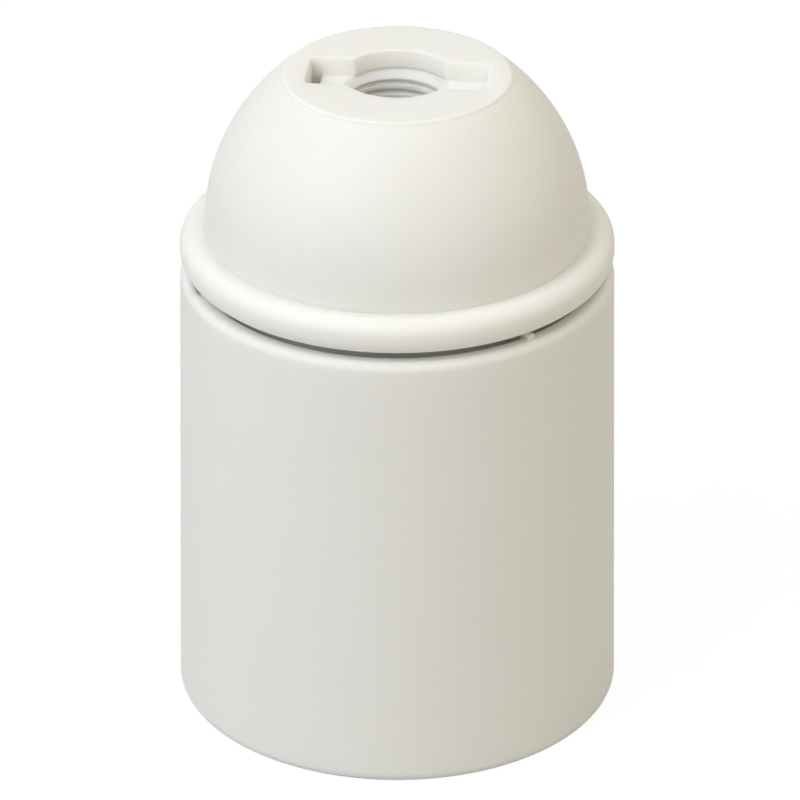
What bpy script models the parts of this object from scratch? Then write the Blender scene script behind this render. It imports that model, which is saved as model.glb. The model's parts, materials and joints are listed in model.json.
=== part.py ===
"""Lamp holder for a large screw lamp: a domed cap with an M10 x 1 entry, a plain skirt that screws on to it,
and between them a ceramic contact carrier with its screw shell, sprung centre contact and two terminals.

Every size is in millimetres, and MM turns the finished meshes into metres. The holder stands on the rim of
its skirt: the origin is the centre of that rim, +Z points up through the cap, and -Y is the front."""

from math import cos, pi, radians, sin

import bmesh
import bpy
from mathutils import Matrix, Vector

MM = 0.001

# Gaps and thickness shared by several pieces
FIT = 0.3
RUNNING_FIT = 0.08
STRIP = 0.8
ROUND_SEGMENTS = 60
SMALL_SEGMENTS = 24
CORNER_STEPS = 3

# Screw shell, with the rounded 7 turns per inch lamp thread
SHELL_MAJOR = 13.35
SHELL_PITCH = 3.629
SHELL_DEPTH = 1.05
SHELL_SHEET = 0.45
SHELL_LENGTH = 21.4
SHELL_NECK = 1.9
SHELL_TURN_IN = 3.45
SHELL_RIVET_INSET = 2.15
SHELL_SEGMENTS = 36
RINGS_PER_PITCH = 6

# Skirt
SKIRT_HEIGHT = 45.9
SKIRT_DRAFT = 0.72
SKIRT_FOOT_ROUND = 1.0
SKIRT_RIM_ROUND = 0.8
SKIRT_LEAD_IN = 0.8
SKIRT_WALL = 2.4
SKIRT_MOUTH_WALL = 1.9
LEDGE_BELOW_RIM = 14.9
LEDGE_THICKNESS = 2.6
LEDGE_BEARING = 2.2
TOOTH_ANGLE = 39.0
TOOTH_WIDTH = 0.9
TOOTH_LENGTH = 1.3
NOTCH_ANGLE = -75.0
NOTCH_WIDTH = 2.4
NOTCH_DEPTH = 1.2
NOTCH_REACH = 1.4

# Screw joint between skirt and cap
JOINT_PITCH = 3.0
JOINT_DEPTH = 0.7
JOINT_ROOT_HALF = 0.85
JOINT_CREST_HALF = 0.4
SKIRT_THREAD_TURNS = 2.0
NECK_THREAD_TURNS = 2.5
THREAD_ROOTED = 0.4

# Cap
COLLAR_GAP = 0.75
BEAD_RADIUS = 1.52
BEAD_LAND = 0.45
DOME_HEIGHT = 16.35
DOME_STEP_IN = 2.43
DOME_SHOULDER = 3.35
DOME_RISE_POWER = 2.2
DOME_FALL_POWER = 0.891
DOME_STEPS = 11
DOME_EDGE_ROUND = 0.35
CAP_WALL = 2.3
TOP_PLATE = 4.2
BOSS_WALL = 3.34
BOSS_LENGTH = 4.8
NECK_WALL = 1.5
KEY_WIDTH = 2.0
KEY_DEPTH = 1.1

# Recess in the flat top, with the M10 x 1 entry
ENTRY_RADIUS = 4.46
ENTRY_CHAMFER = 0.85
WELL_MARGIN = 0.04
RECESS_DEPTH = 1.75
SLOT_MARGIN = 2.45
SLOT_WIDTH = 5.9
SLOT_END_ROUND = 0.5
SLOT_ANGLE = -6.0
WINDOW_WIDTH = 1.0
WINDOW_INSET = 0.15

# Nipple lock screw
LOCK_RADIUS = 2.0
LOCK_LENGTH = 3.8
LOCK_BACKED_OFF = 0.84
LOCK_BELOW_TOP = 7.6
LOCK_SLOT = 0.6

# Contact carrier
FLANGE_THICKNESS = 2.9
FLANGE_INSET = 0.18
CARRIER_HEIGHT = 12.7
CARRIER_PLAY = 0.48
CENTRING_RING_WALL = 1.0
CENTRING_RING_HEIGHT = 2.3
CONTACT_RECESS_INSET = 1.0
CONTACT_RECESS_DEPTH = 1.2
POCKET_WALL = 2.7
POCKET_HALF_WIDTH = 4.7
POCKET_BASE = 3.6
CHANNEL_INNER = 0.8
CHANNEL_HALF_WIDTH = 2.9
CHANNEL_BASE = 5.7

# Terminals
BLOCK_LENGTH = 6.4
BLOCK_WIDTH = 7.2
BLOCK_HEIGHT = 4.0
CLAMP_LENGTH = 6.0
CLAMP_PLATE = 1.0
CLAMP_LIP = 0.6
CLAMP_LIP_DROP = 1.2
SCREW_RADIUS = 1.7
SCREW_HEAD_RADIUS = 2.8
SCREW_HEAD = 2.0
SCREW_SLOT = 0.7
SCREW_TIP_LIFT = 0.1
STRIP_HALF_WIDTH = 2.5
LEG_INSET = 0.7

# Centre contact and rivets
TONGUE_SHEET = 0.4
TONGUE_HALF_WIDTH = 2.2
TONGUE_DROP = 2.6
TONGUE_BEND = 1.1
TONGUE_REACH = 3.2
CONTACT_RIVET_INSET = 2.3
RIVET_RADIUS = 0.8
RIVET_HEAD_RADIUS = 1.3
RIVET_HEAD = 0.7
RIVET_WELL_RADIUS = 1.8

# Radii that follow from the lamp thread, from the inside out
SHELL_HOLE = SHELL_MAJOR - SHELL_TURN_IN
SHELL_RIVET = SHELL_MAJOR - SHELL_RIVET_INSET
CONTACT_RECESS_RADIUS = SHELL_HOLE - CONTACT_RECESS_INSET
CONTACT_RIVET = CONTACT_RECESS_RADIUS - CONTACT_RIVET_INSET
RING_BORE = SHELL_MAJOR + SHELL_SHEET + FIT
RING_RADIUS = RING_BORE + CENTRING_RING_WALL
LEDGE_RADIUS = RING_RADIUS + FIT
FLANGE_RADIUS = LEDGE_RADIUS + LEDGE_BEARING
NECK_RADIUS = FLANGE_RADIUS + FLANGE_INSET
NECK_BORE = NECK_RADIUS - NECK_WALL
CARRIER_RADIUS = NECK_BORE - CARRIER_PLAY
SKIRT_BORE = NECK_RADIUS + FIT + JOINT_DEPTH
SKIRT_TOP_RADIUS = SKIRT_BORE + SKIRT_WALL
SKIRT_FOOT_RADIUS = SKIRT_TOP_RADIUS + SKIRT_DRAFT
COLLAR_RADIUS = SKIRT_TOP_RADIUS
BEAD_CENTRE = COLLAR_RADIUS - BEAD_RADIUS
DOME_FOOT_RADIUS = COLLAR_RADIUS - DOME_STEP_IN

# Places of the terminals, from the carrier's wall inwards
POCKET_OUTER = CARRIER_RADIUS - POCKET_WALL
TERMINAL_CENTRE = POCKET_OUTER - FIT - BLOCK_LENGTH / 2
POCKET_INNER = TERMINAL_CENTRE - BLOCK_LENGTH / 2 - FIT
LEG_FROM_CENTRE = POCKET_INNER + LEG_INSET

# Radii that follow from the entry's thread
WELL_RADIUS = ENTRY_RADIUS + ENTRY_CHAMFER + WELL_MARGIN
BOSS_RADIUS = ENTRY_RADIUS + BOSS_WALL
DOME_TOP_RADIUS = BOSS_RADIUS + DOME_SHOULDER
SLOT_LENGTH = 2 * (DOME_TOP_RADIUS - SLOT_MARGIN)
LOCK_TIP = ENTRY_RADIUS + LOCK_BACKED_OFF

# Heights that follow from the skirt's
COLLAR_FOOT = SKIRT_HEIGHT + COLLAR_GAP
BEAD_HEIGHT = COLLAR_FOOT + BEAD_RADIUS + BEAD_LAND
DOME_FOOT = BEAD_HEIGHT + BEAD_RADIUS
CAP_TOP = DOME_FOOT + DOME_HEIGHT
CEILING = CAP_TOP - TOP_PLATE
RECESS_FLOOR = CAP_TOP - RECESS_DEPTH
LOCK_HEIGHT = CAP_TOP - LOCK_BELOW_TOP
LEDGE_TOP = SKIRT_HEIGHT - LEDGE_BELOW_RIM
FLANGE_FOOT = LEDGE_TOP + FIT
FLANGE_TOP = FLANGE_FOOT + FLANGE_THICKNESS
CARRIER_TOP = FLANGE_FOOT + CARRIER_HEIGHT
POCKET_FLOOR = FLANGE_FOOT + POCKET_BASE
CHANNEL_FLOOR = FLANGE_FOOT + CHANNEL_BASE
RIVET_SEAT = CHANNEL_FLOOR
NECK_FOOT = FLANGE_TOP + FIT
RECESS_CEILING = FLANGE_FOOT + CONTACT_RECESS_DEPTH
FOOT_STRIP_TOP = RECESS_CEILING - FIT
FOOT_STRIP = FOOT_STRIP_TOP - STRIP
TONGUE_TOP = FOOT_STRIP - FIT
TONGUE_MIDDLE = TONGUE_TOP - TONGUE_SHEET / 2
PAD_STRIP = POCKET_FLOOR + FIT
BLOCK_FOOT = PAD_STRIP + STRIP + FIT
BLOCK_TOP = BLOCK_FOOT + BLOCK_HEIGHT
CLAMP_FOOT = BLOCK_TOP + FIT
HEAD_FOOT = CLAMP_FOOT + CLAMP_PLATE + FIT
SHELL_TOP = FLANGE_FOOT - FIT
SHELL_CEILING = SHELL_TOP - SHELL_SHEET
SHELL_FOOT = SHELL_TOP - SHELL_LENGTH


def clear_scene():
    for thing in list(bpy.data.objects):
        bpy.data.objects.remove(thing)
    bpy.context.scene.unit_settings.system = "METRIC"


def material(name, colour, roughness, metallic=0.0):
    made = bpy.data.materials.new(name)
    made.use_nodes = True
    shader = made.node_tree.nodes["Principled BSDF"]
    shader.inputs["Base Color"].default_value = (*colour, 1.0)
    shader.inputs["Roughness"].default_value = roughness
    shader.inputs["Metallic"].default_value = metallic
    made.diffuse_color = (*colour, 1.0)
    return made


def from_mesh(name, bm):
    """Closes a bmesh off as an object of the scene, with its faces turned outwards."""
    bmesh.ops.recalc_face_normals(bm, faces=bm.faces)
    mesh = bpy.data.meshes.new(name)
    bm.to_mesh(mesh)
    bm.free()
    made = bpy.data.objects.new(name, mesh)
    bpy.context.scene.collection.objects.link(made)
    return made


def turned(name, profile, segments=ROUND_SEGMENTS, pitch=1.0):
    """Turns a closed profile about Z. A point is radius, height and, on a thread, the depth of its wave."""
    bm = bmesh.new()
    rings = []
    for radius, height, *wave in profile:
        depth = wave[0] if wave else 0.0
        ring = []
        for step in range(segments):
            angle = 2 * pi * step / segments
            away = radius + depth * cos(2 * pi * height / pitch - angle)
            ring.append(bm.verts.new((away * cos(angle), away * sin(angle), height)))
        rings.append(ring)
    for lower, upper in zip(rings, rings[1:] + rings[:1]):
        for step in range(segments):
            after = (step + 1) % segments
            bm.faces.new((lower[step], lower[after], upper[after], upper[step]))
    return from_mesh(name, bm)


def extruded(name, outline, low, high, axis="Z"):
    """Extrudes a closed outline from low to high: (x, y) along Z, (y, z) along X."""
    bm = bmesh.new()
    place = {"Z": lambda a, b, c: (a, b, c), "X": lambda a, b, c: (c, a, b)}[axis]
    ends = [[bm.verts.new(place(a, b, c)) for a, b in outline] for c in (low, high)]
    bm.faces.new(ends[0])
    bm.faces.new(ends[1])
    count = len(outline)
    for step in range(count):
        after = (step + 1) % count
        bm.faces.new((ends[0][step], ends[0][after], ends[1][after], ends[1][step]))
    return from_mesh(name, bm)


def box(name, x, y, z):
    return extruded(name, [(x[0], y[0]), (x[1], y[0]), (x[1], y[1]), (x[0], y[1])], *z)


def rod(name, radius, low, high, x=0.0, y=0.0, segments=SMALL_SEGMENTS):
    angles = [2 * pi * (step + 0.5) / segments for step in range(segments)]
    return extruded(name, [(x + radius * cos(a), y + radius * sin(a)) for a in angles], low, high)


def helical_ridge(name, root, crest, start, turns):
    """A right-hand trapezoid ridge that stands on the root radius and fades into it at both ends."""
    bm = bmesh.new()
    outward = 1 if crest > root else -1
    buried = root - outward * THREAD_ROOTED
    buried_half = JOINT_ROOT_HALF + (JOINT_ROOT_HALF - JOINT_CREST_HALF) * THREAD_ROOTED / JOINT_DEPTH
    steps = round(turns * ROUND_SEGMENTS)
    rings = []
    for step in range(steps + 1):
        angle = 2 * pi * step / ROUND_SEGMENTS
        middle = start + JOINT_PITCH * step / ROUND_SEGMENTS
        fade = min(1.0, step / CORNER_STEPS, (steps - step) / CORNER_STEPS)
        top = buried + (crest - buried) * max(fade, 0.2)
        section = [
            (buried, -buried_half),
            (top, -JOINT_CREST_HALF),
            (top, JOINT_CREST_HALF),
            (buried, buried_half),
        ]
        rings.append([bm.verts.new((r * cos(angle), r * sin(angle), middle + z)) for r, z in section])
    bm.faces.new(rings[0])
    bm.faces.new(rings[-1])
    for here, after in zip(rings, rings[1:]):
        for side in range(4):
            other = (side + 1) % 4
            bm.faces.new((here[side], here[other], after[other], after[side]))
    return from_mesh(name, bm)


def turn_about_z(thing, degrees):
    thing.data.transform(Matrix.Rotation(radians(degrees), 4, "Z"))
    return thing


def combine(target, operation, tools):
    """Joins or cuts with each tool in turn, keeps the result as the target's own mesh, removes the tools."""
    for tool in tools:
        step = target.modifiers.new(tool.name, "BOOLEAN")
        step.operation = operation
        step.solver = "EXACT"
        step.object = tool
    graph = bpy.context.evaluated_depsgraph_get()
    result = bpy.data.meshes.new_from_object(target.evaluated_get(graph))
    target.modifiers.clear()
    target.data = result
    for tool in tools:
        bpy.data.objects.remove(tool)
    return target


def corner(radius, height, size, start, steps=CORNER_STEPS):
    """Points of a quarter round of this size about (radius, height), from the start angle on."""
    angles = [radians(start + 90 * step / steps) for step in range(steps + 1)]
    return [(radius + size * cos(a), height + size * sin(a)) for a in angles]


def dome_curve(foot_radius, top_radius, top, steps):
    """The dome's side from its foot up to the given height."""
    points = []
    for step in range(steps + 1):
        rise = sin(pi / 2 * step / steps)
        across = (foot_radius - top_radius) * max(0.0, 1 - rise**DOME_RISE_POWER) ** DOME_FALL_POWER
        points.append((top_radius + across, DOME_FOOT + (top - DOME_FOOT) * rise))
    return points


def finish(thing, look, at=(0.0, 0.0, 0.0)):
    """Scales a piece to metres, puts its origin at the given point and gives it its material and shading."""
    thing.data.transform(Matrix.Scale(MM, 4) @ Matrix.Translation(-Vector(at)))
    thing.location = Vector(at) * MM
    thing.data.materials.clear()
    thing.data.materials.append(look)
    thing.data.shade_smooth()
    thing.data.set_sharp_from_angle(angle=radians(35))
    return thing


def skirt_thread_start():
    return SKIRT_HEIGHT - (SKIRT_THREAD_TURNS + 1) * JOINT_PITCH


def neck_thread_start():
    """Half a pitch from the skirt's ridge, so that the two run in each other's grooves."""
    start = skirt_thread_start() + JOINT_PITCH / 2
    while start - JOINT_PITCH > NECK_FOOT + JOINT_ROOT_HALF:
        start -= JOINT_PITCH
    return start


def outer_skirt():
    mouth = SKIRT_FOOT_RADIUS - SKIRT_MOUTH_WALL
    ledge_foot = LEDGE_TOP - LEDGE_THICKNESS
    profile = [(mouth + FIT, 0.0)]
    profile += corner(SKIRT_FOOT_RADIUS - SKIRT_FOOT_ROUND, SKIRT_FOOT_ROUND, SKIRT_FOOT_ROUND, -90)
    tooth_end = SKIRT_TOP_RADIUS - SKIRT_RIM_ROUND
    profile += corner(tooth_end, SKIRT_HEIGHT - SKIRT_RIM_ROUND, SKIRT_RIM_ROUND, 0)
    profile += [(SKIRT_BORE + SKIRT_LEAD_IN, SKIRT_HEIGHT), (SKIRT_BORE, SKIRT_HEIGHT - SKIRT_LEAD_IN)]
    profile += [(SKIRT_BORE, LEDGE_TOP), (LEDGE_RADIUS + FIT, LEDGE_TOP)]
    profile += [(LEDGE_RADIUS, LEDGE_TOP - FIT), (LEDGE_RADIUS, ledge_foot)]
    profile += [(mouth - 2 * FIT, ledge_foot), (mouth, FIT)]
    skirt = turned("outer_skirt", profile)
    crest = SKIRT_BORE - JOINT_DEPTH
    ridge = helical_ridge("skirt_ridge", SKIRT_BORE, crest, skirt_thread_start(), SKIRT_THREAD_TURNS)
    tooth = box(
        "tooth",
        (-TOOTH_WIDTH / 2, TOOTH_WIDTH / 2),
        (-tooth_end, TOOTH_LENGTH - tooth_end),
        (SKIRT_HEIGHT - SKIRT_RIM_ROUND, COLLAR_FOOT - FIT),
    )
    combine(skirt, "UNION", [ridge, turn_about_z(tooth, TOOTH_ANGLE)])
    notch = box(
        "notch",
        (-NOTCH_WIDTH / 2, NOTCH_WIDTH / 2),
        (-SKIRT_BORE - NOTCH_REACH, NOTCH_WIDTH - SKIRT_BORE),
        (SKIRT_HEIGHT - NOTCH_DEPTH, SKIRT_HEIGHT + NOTCH_DEPTH),
    )
    combine(skirt, "DIFFERENCE", [turn_about_z(notch, NOTCH_ANGLE)])
    return skirt


def slot_outline():
    """The slot across the flat top, with its four corners rounded."""
    half_length = SLOT_LENGTH / 2 - SLOT_END_ROUND
    half_width = SLOT_WIDTH / 2 - SLOT_END_ROUND
    points = []
    for x, y, start in ((1, 1, 0), (-1, 1, 90), (-1, -1, 180), (1, -1, 270)):
        points += corner(x * half_length, y * half_width, SLOT_END_ROUND, start)
    return points


def dome_cap():
    boss_foot = CEILING - BOSS_LENGTH
    outside = dome_curve(DOME_FOOT_RADIUS, DOME_TOP_RADIUS, CAP_TOP - DOME_EDGE_ROUND, DOME_STEPS)
    shoulder = DOME_TOP_RADIUS - 0.7 * CAP_WALL
    inside = dome_curve(DOME_FOOT_RADIUS - CAP_WALL, shoulder, CEILING, DOME_STEPS // 2 + 1)
    bead = [
        (BEAD_CENTRE + BEAD_RADIUS * cos(radians(a)), COLLAR_FOOT + BEAD_RADIUS * (1 + sin(radians(a))))
        for a in range(-90, 1, 22)
    ]
    bead += [
        (BEAD_CENTRE + BEAD_RADIUS * cos(radians(a)), BEAD_HEIGHT + BEAD_RADIUS * sin(radians(a)))
        for a in range(2, 106, 25)
    ]
    profile = [(NECK_BORE, NECK_FOOT), (NECK_RADIUS - FIT, NECK_FOOT), (NECK_RADIUS, NECK_FOOT + FIT)]
    profile += [(NECK_RADIUS, COLLAR_FOOT)] + bead + outside
    profile += [(DOME_TOP_RADIUS - DOME_EDGE_ROUND, CAP_TOP), (ENTRY_RADIUS, CAP_TOP)]
    profile += [(ENTRY_RADIUS, boss_foot), (BOSS_RADIUS - FIT, boss_foot)]
    profile += [(BOSS_RADIUS, boss_foot + FIT), (BOSS_RADIUS, CEILING)]
    profile += inside[::-1] + [(NECK_BORE, DOME_FOOT - 2 * FIT)]
    cap = turned("dome_cap", profile)
    crest = NECK_RADIUS + JOINT_DEPTH
    ridge = helical_ridge("neck_ridge", NECK_RADIUS, crest, neck_thread_start(), NECK_THREAD_TURNS)
    keys = [
        box(
            f"key{side}",
            (-KEY_WIDTH / 2, KEY_WIDTH / 2),
            sorted((side * (NECK_BORE - KEY_DEPTH), side * (NECK_BORE + NECK_WALL / 2))),
            (NECK_FOOT + 2 * FIT, BEAD_HEIGHT),
        )
        for side in (-1, 1)
    ]
    combine(cap, "UNION", [ridge] + keys)

    above = CAP_TOP + 1.0
    slot = turn_about_z(extruded("slot", slot_outline(), RECESS_FLOOR, above), SLOT_ANGLE)
    well = rod("well", WELL_RADIUS, RECESS_FLOOR, above, segments=ROUND_SEGMENTS)
    cone_foot = RECESS_FLOOR - ENTRY_CHAMFER
    cone_top = RECESS_FLOOR + ENTRY_CHAMFER
    lead_in = [(ENTRY_RADIUS - 1, cone_top), (ENTRY_RADIUS - 1, cone_foot)]
    lead_in += [(ENTRY_RADIUS, cone_foot), (ENTRY_RADIUS + cone_top - cone_foot, cone_top)]
    chamfer = turned("chamfer", lead_in)
    window_end = WINDOW_INSET - SLOT_LENGTH / 2
    window_side = SLOT_WIDTH / 2 - WINDOW_INSET
    window = box(
        "window",
        (window_end, window_end + WINDOW_WIDTH),
        (-window_side, window_side),
        (CEILING - 1.0, above),
    )
    lock = rod("lock_bore", LOCK_RADIUS + RUNNING_FIT, ENTRY_RADIUS - 1, BOSS_RADIUS + 1)
    combine(cap, "DIFFERENCE", [slot, well, chamfer, turn_about_z(window, SLOT_ANGLE), laid_along_x(lock)])
    return cap


def laid_along_x(thing):
    """Lays what was made along Z on the lock screw's axis."""
    thing.data.transform(Matrix.Translation((0, 0, LOCK_HEIGHT)) @ Matrix.Rotation(pi / 2, 4, "Y"))
    return thing


def lock_screw():
    end = LOCK_TIP + LOCK_LENGTH
    screw = rod("nipple_lock_screw", LOCK_RADIUS, LOCK_TIP, end)
    wide = 2 * LOCK_RADIUS
    slot = box("driver_slot", (-LOCK_SLOT / 2, LOCK_SLOT / 2), (-wide, wide), (end - 1.0, end + 1.0))
    combine(screw, "DIFFERENCE", [slot])
    return laid_along_x(screw)


def contact_carrier():
    body = rod("contact_carrier", FLANGE_RADIUS, FLANGE_FOOT, FLANGE_TOP, segments=ROUND_SEGMENTS)
    drum = rod("drum", CARRIER_RADIUS, FLANGE_FOOT + FIT, CARRIER_TOP, segments=ROUND_SEGMENTS)
    ring_foot = FLANGE_FOOT - CENTRING_RING_HEIGHT
    section = [(RING_BORE, ring_foot), (RING_RADIUS, ring_foot)]
    section += [(RING_RADIUS, FLANGE_TOP), (RING_BORE, FLANGE_TOP)]
    ring = turned("ring", section)
    combine(body, "UNION", [drum, ring])
    below = FLANGE_FOOT - 1.0
    above = CARRIER_TOP + 1.0
    cutters = [rod("contact_recess", CONTACT_RECESS_RADIUS, below, RECESS_CEILING, segments=ROUND_SEGMENTS)]
    pad = RIVET_WELL_RADIUS + 2 * FIT
    pad_reach = (CONTACT_RECESS_RADIUS - pad, SHELL_RIVET + pad)
    cutters.append(box("shell_pad", (-pad, pad), pad_reach, (below, RECESS_CEILING)))
    for side in (-1, 1):
        key = KEY_WIDTH / 2 + FIT
        deep = NECK_BORE - KEY_DEPTH - FIT
        keyway_reach = sorted((side * deep, side * FLANGE_RADIUS))
        cutters.append(box(f"keyway{side}", (-key, key), keyway_reach, (FLANGE_TOP, above)))
        cutters.append(
            box(
                f"pocket{side}",
                sorted((side * POCKET_INNER, side * POCKET_OUTER)),
                (-POCKET_HALF_WIDTH, POCKET_HALF_WIDTH),
                (POCKET_FLOOR, above),
            )
        )
        cutters.append(
            box(
                f"channel{side}",
                sorted((side * CHANNEL_INNER, side * (POCKET_INNER + 1))),
                (-CHANNEL_HALF_WIDTH, CHANNEL_HALF_WIDTH),
                (CHANNEL_FLOOR, above + 1),
            )
        )
        leg = sorted((side * (LEG_FROM_CENTRE - FIT), side * (LEG_FROM_CENTRE + STRIP + FIT)))
        half = STRIP_HALF_WIDTH + FIT
        cutters.append(box(f"leg_slot{side}", leg, (-half, half), (below - 1, POCKET_FLOOR + 1)))
    for at in (-SHELL_RIVET, -CONTACT_RIVET, SHELL_RIVET):
        cutters.append(rod(f"rivet_hole{at}", RIVET_RADIUS + FIT, below - 1, RIVET_SEAT + 1, y=at))
        cutters.append(rod(f"rivet_well{at}", RIVET_WELL_RADIUS, RIVET_SEAT, above, y=at))
    combine(body, "DIFFERENCE", cutters)
    return body


def screw_shell():
    """Thin sheet with a rolled right-hand thread, turned in at the top for its rivets."""
    middle = SHELL_MAJOR - SHELL_DEPTH / 2
    thread_top = SHELL_TOP - SHELL_NECK
    count = int((thread_top - SHELL_FOOT) / (SHELL_PITCH / RINGS_PER_PITCH))
    heights = [SHELL_FOOT + (thread_top - SHELL_FOOT) * step / count for step in range(count + 1)]
    rise = SHELL_DEPTH / 2
    inside = [(middle, z, rise) for z in heights]
    inside[-1] = (middle + rise, thread_top, 0.0)
    inside += [(SHELL_MAJOR, SHELL_CEILING - SHELL_SHEET), (SHELL_MAJOR - SHELL_SHEET, SHELL_CEILING)]
    outside = [(r + SHELL_SHEET, z, *wave) for r, z, *wave in inside[:-2]]
    shoulder = [
        (SHELL_MAJOR - SHELL_SHEET / 2, SHELL_TOP),
        (SHELL_MAJOR + SHELL_SHEET, SHELL_TOP - 2 * SHELL_SHEET),
    ]
    profile = inside + [(SHELL_HOLE, SHELL_CEILING), (SHELL_HOLE, SHELL_TOP)] + shoulder + outside[::-1]
    shell = turned("screw_shell", profile, SHELL_SEGMENTS, SHELL_PITCH)
    holes = [
        rod(f"shell_hole{side}", RIVET_RADIUS + FIT, SHELL_CEILING - 1, SHELL_TOP + 1, y=side * SHELL_RIVET)
        for side in (-1, 1)
    ]
    combine(shell, "DIFFERENCE", holes)
    return shell


def strip(name, side, foot_outline, rivet_at):
    """A stamped strip: a tapped pad under its block, a leg down through the carrier and a foot below it."""
    leg = [side * x for x in (LEG_FROM_CENTRE, LEG_FROM_CENTRE + STRIP)]
    wide = (-STRIP_HALF_WIDTH, STRIP_HALF_WIDTH)
    outer = TERMINAL_CENTRE + BLOCK_LENGTH / 2 - FIT
    body = box(name, sorted((leg[0], side * outer)), wide, (PAD_STRIP, PAD_STRIP + STRIP))
    fall = box("fall", sorted(leg), wide, (FOOT_STRIP, PAD_STRIP + STRIP))
    foot = extruded("foot", foot_outline, FOOT_STRIP, FOOT_STRIP_TOP)
    combine(body, "UNION", [fall, foot])
    tapped = SCREW_RADIUS + RUNNING_FIT
    holes = [
        rod("rivet_hole", RIVET_RADIUS + FIT, FOOT_STRIP - 1, FOOT_STRIP_TOP + 1, y=rivet_at),
        rod("screw_hole", tapped, PAD_STRIP - 1, PAD_STRIP + STRIP + 1, x=side * TERMINAL_CENTRE),
    ]
    combine(body, "DIFFERENCE", holes)
    return body


def live_strip():
    fold = -LEG_FROM_CENTRE - STRIP
    pad = RIVET_HEAD_RADIUS + 2 * FIT
    far = STRIP - CONTACT_RIVET - pad
    outline = [(fold, STRIP_HALF_WIDTH), (fold + STRIP_HALF_WIDTH, STRIP_HALF_WIDTH)]
    outline += [(fold + STRIP_HALF_WIDTH + STRIP, -STRIP), (pad, pad - CONTACT_RIVET)]
    outline += [(pad, far), (-pad, far), (fold, -STRIP_HALF_WIDTH)]
    return strip("live_strip", -1, outline[::-1], -CONTACT_RIVET)


def neutral_strip():
    fold = LEG_FROM_CENTRE + STRIP
    pad = RIVET_HEAD_RADIUS + 2 * FIT
    near = SHELL_RIVET - pad - STRIP
    outline = [(fold, -STRIP_HALF_WIDTH), (fold, STRIP_HALF_WIDTH), (pad, near)]
    outline += [(pad, SHELL_RIVET + pad), (-pad, SHELL_RIVET + pad), (-pad, near - STRIP)]
    outline += [(fold - STRIP_HALF_WIDTH, 2 * STRIP), (fold - STRIP_HALF_WIDTH, -STRIP_HALF_WIDTH)]
    return strip("neutral_strip", 1, outline, SHELL_RIVET)


def centre_contact():
    """A spring leaf: flat at its rivet, then bent down to the lamp's centre and up again at its tip."""
    flat = RIVET_HEAD_RADIUS
    line = [(-CONTACT_RIVET - flat, 0.0), (-CONTACT_RIVET + flat, 0.0)]
    line += [(-CONTACT_RIVET + 2 * flat, -0.12 * TONGUE_DROP)]
    line += [(-TONGUE_BEND, -0.85 * TONGUE_DROP), (0.0, -TONGUE_DROP), (TONGUE_BEND, -0.9 * TONGUE_DROP)]
    line += [(TONGUE_REACH, -0.45 * TONGUE_DROP)]
    line = [(y, TONGUE_MIDDLE + z) for y, z in line]
    above, below = [], []
    for step, (y, z) in enumerate(line):
        before = line[max(step - 1, 0)]
        after = line[min(step + 1, len(line) - 1)]
        along = Vector((after[0] - before[0], after[1] - before[1])).normalized() * TONGUE_SHEET / 2
        above.append((y - along.y, z + along.x))
        below.append((y + along.y, z - along.x))
    leaf = extruded("centre_contact", above[::-1] + below, -TONGUE_HALF_WIDTH, TONGUE_HALF_WIDTH, axis="X")
    hole = rod("tongue_hole", RIVET_RADIUS + FIT, TONGUE_TOP - 2, TONGUE_TOP + 2, y=-CONTACT_RIVET)
    combine(leaf, "DIFFERENCE", [hole])
    return leaf


def rivet(name, at, underside):
    """A tubular rivet from below the given face up to its seat in the carrier, with a head at each end."""
    top = RIVET_SEAT + FIT
    low = underside - FIT
    crown = RIVET_HEAD_RADIUS - FIT
    inner = RIVET_RADIUS / 2
    profile = [(inner, low - RIVET_HEAD), (crown, low - RIVET_HEAD), (RIVET_HEAD_RADIUS, low - FIT)]
    profile += [(RIVET_HEAD_RADIUS, low), (RIVET_RADIUS, low), (RIVET_RADIUS, top)]
    profile += [(RIVET_HEAD_RADIUS, top), (RIVET_HEAD_RADIUS, top + FIT)]
    profile += [(crown, top + RIVET_HEAD), (inner, top + RIVET_HEAD)]
    made = turned(name, profile, 16)
    made.data.transform(Matrix.Translation((0, at, 0)))
    return made


def terminal_block(name, side):
    at = side * TERMINAL_CENTRE
    half_x, half_y = BLOCK_LENGTH / 2, BLOCK_WIDTH / 2
    body = box(name, (at - half_x, at + half_x), (-half_y, half_y), (BLOCK_FOOT, BLOCK_TOP))
    bore = rod("bore", SCREW_RADIUS + RUNNING_FIT, BLOCK_FOOT - 1, BLOCK_TOP + 1, x=at)
    return combine(body, "DIFFERENCE", [bore])


def wire_clamp(name, side):
    """A plate with a lip down each side, which keeps it square on its block."""
    at = side * TERMINAL_CENTRE
    half_x = CLAMP_LENGTH / 2
    inner = BLOCK_WIDTH / 2 + FIT * 2 / 3
    outer = inner + CLAMP_LIP
    top = CLAMP_FOOT + CLAMP_PLATE
    drop = CLAMP_FOOT - CLAMP_LIP_DROP
    outline = [(-outer, drop), (-inner, drop), (-inner, CLAMP_FOOT), (inner, CLAMP_FOOT)]
    outline += [(inner, drop), (outer, drop), (outer, top), (-outer, top)]
    body = extruded(name, outline, at - half_x, at + half_x, axis="X")
    combine(body, "DIFFERENCE", [rod("bore", SCREW_RADIUS + FIT, CLAMP_FOOT - 1, top + 1, x=at)])
    return body


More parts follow.
